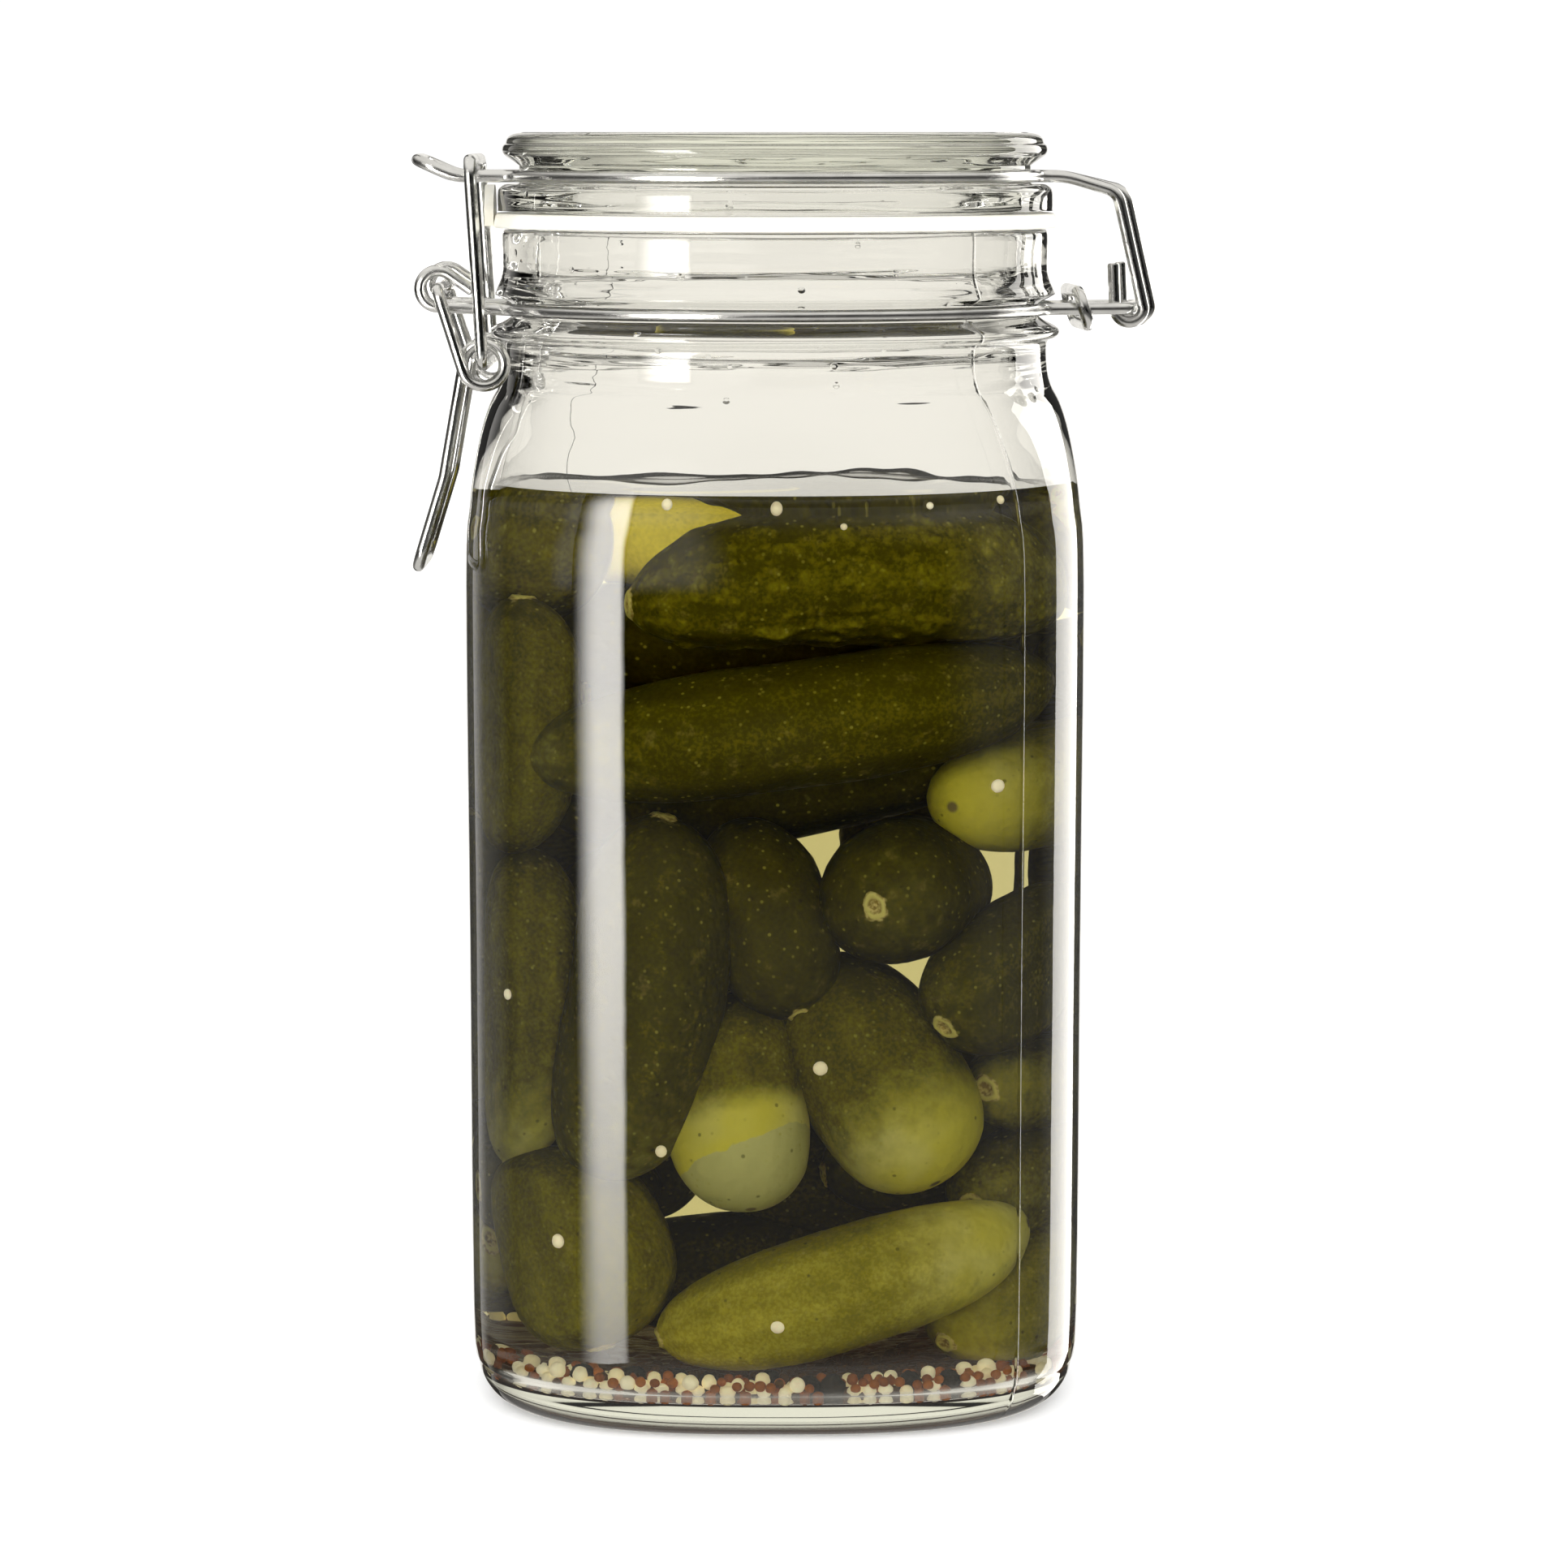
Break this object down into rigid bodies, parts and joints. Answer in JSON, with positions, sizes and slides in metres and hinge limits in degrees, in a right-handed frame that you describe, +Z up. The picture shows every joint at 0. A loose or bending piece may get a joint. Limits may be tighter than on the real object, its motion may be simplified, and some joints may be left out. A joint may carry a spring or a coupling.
{
  "type": "clip top jar",
  "caption": "Clear square glass jar with a round neck, full of whole gherkins in brine, shut by a glass lid on a rubber gasket with a wire bail and lever clasp.",
  "frame": {"origin": "middle of the jar's flat underside, on the axis of its round neck", "axes": "+Z up the jar's axis, +X towards the lid's hinge, -X towards the lever clasp, -Y towards the front face"},
  "size_m": [0.1296, 0.1078, 0.2198],
  "materials": {
    "clear_glass": "clear, smooth",
    "pale_rubber": "matt, slightly translucent",
    "steel_wire": "bright drawn wire",
    "gherkin_skin": "wet, warty skin",
    "mustard_seed": "smooth seed coat",
    "brine": "clear liquid, faint olive"
  },
  "bodies": {
    "root": {"glass_jar": "clear_glass", "lid": "clear_glass", "gasket": "pale_rubber", "bail": "steel_wire", "neck_band": "steel_wire", "clip_ring": "steel_wire", "lever": "steel_wire", "link": "steel_wire", "gherkin_heap": "gherkin_skin", "seed_bed": "mustard_seed"}
  },
  "joints": []
}
